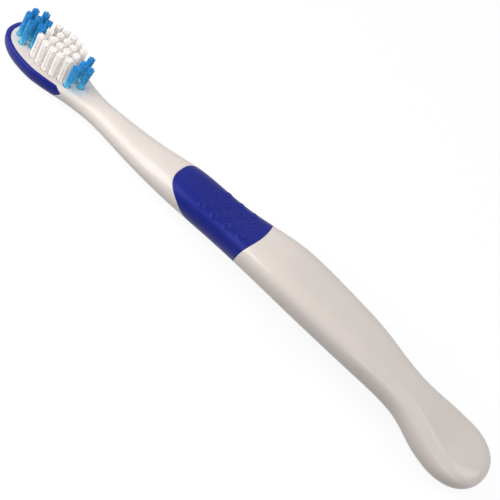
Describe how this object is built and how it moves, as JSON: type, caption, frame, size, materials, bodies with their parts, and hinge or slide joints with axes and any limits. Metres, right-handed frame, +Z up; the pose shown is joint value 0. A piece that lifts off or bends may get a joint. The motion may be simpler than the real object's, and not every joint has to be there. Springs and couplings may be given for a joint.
{
  "type": "manual toothbrush",
  "caption": "Manual toothbrush with a curved white handle, a blue soft grip and head pad, and tufted white and blue bristles.",
  "frame": {"origin": "on the surface it lies on, under the middle of its bounding box", "axes": "+X along the brush from the head toward the handle end, +Y across, +Z up, the way the bristles point"},
  "size_m": [0.1516, 0.0172, 0.0131],
  "materials": {
    "handle_plastic": "glossy moulded polypropylene",
    "soft_blue": "satin thermoplastic rubber",
    "bristle_white": "nylon filament",
    "bristle_blue": "translucent nylon filament",
    "anchor_metal": "bare nickel silver wire"
  },
  "bodies": {
    "root": {"handle": "handle_plastic", "thumb_grip": "soft_blue", "head_pad": "soft_blue", "tuft_anchors": "anchor_metal", "tip_tuft_1_1": "bristle_blue", "tip_tuft_1_2": "bristle_blue", "tip_tuft_2_1": "bristle_blue", "tip_tuft_2_2": "bristle_blue", "tip_tuft_2_3": "bristle_blue", "tip_tuft_3_1": "bristle_blue", "tip_tuft_3_2": "bristle_blue", "white_tuft_4_1": "bristle_white", "white_tuft_4_2": "bristle_white", "white_tuft_4_3": "bristle_white", "white_tuft_5_1": "bristle_white", "white_tuft_5_2": "bristle_white", "white_tuft_5_3": "bristle_white", "white_tuft_5_4": "bristle_white", "white_tuft_6_1": "bristle_white", "white_tuft_6_2": "bristle_white", "white_tuft_6_3": "bristle_white", "white_tuft_6_4": "bristle_white", "white_tuft_7_1": "bristle_white", "white_tuft_7_2": "bristle_white", "white_tuft_7_3": "bristle_white", "white_tuft_7_4": "bristle_white", "white_tuft_8_1": "bristle_white", "white_tuft_8_2": "bristle_white", "white_tuft_8_3": "bristle_white", "heel_tuft_9_1": "bristle_blue", "heel_tuft_9_2": "bristle_blue", "heel_tuft_9_3": "bristle_blue", "heel_tuft_10_1": "bristle_blue"}
  },
  "joints": []
}
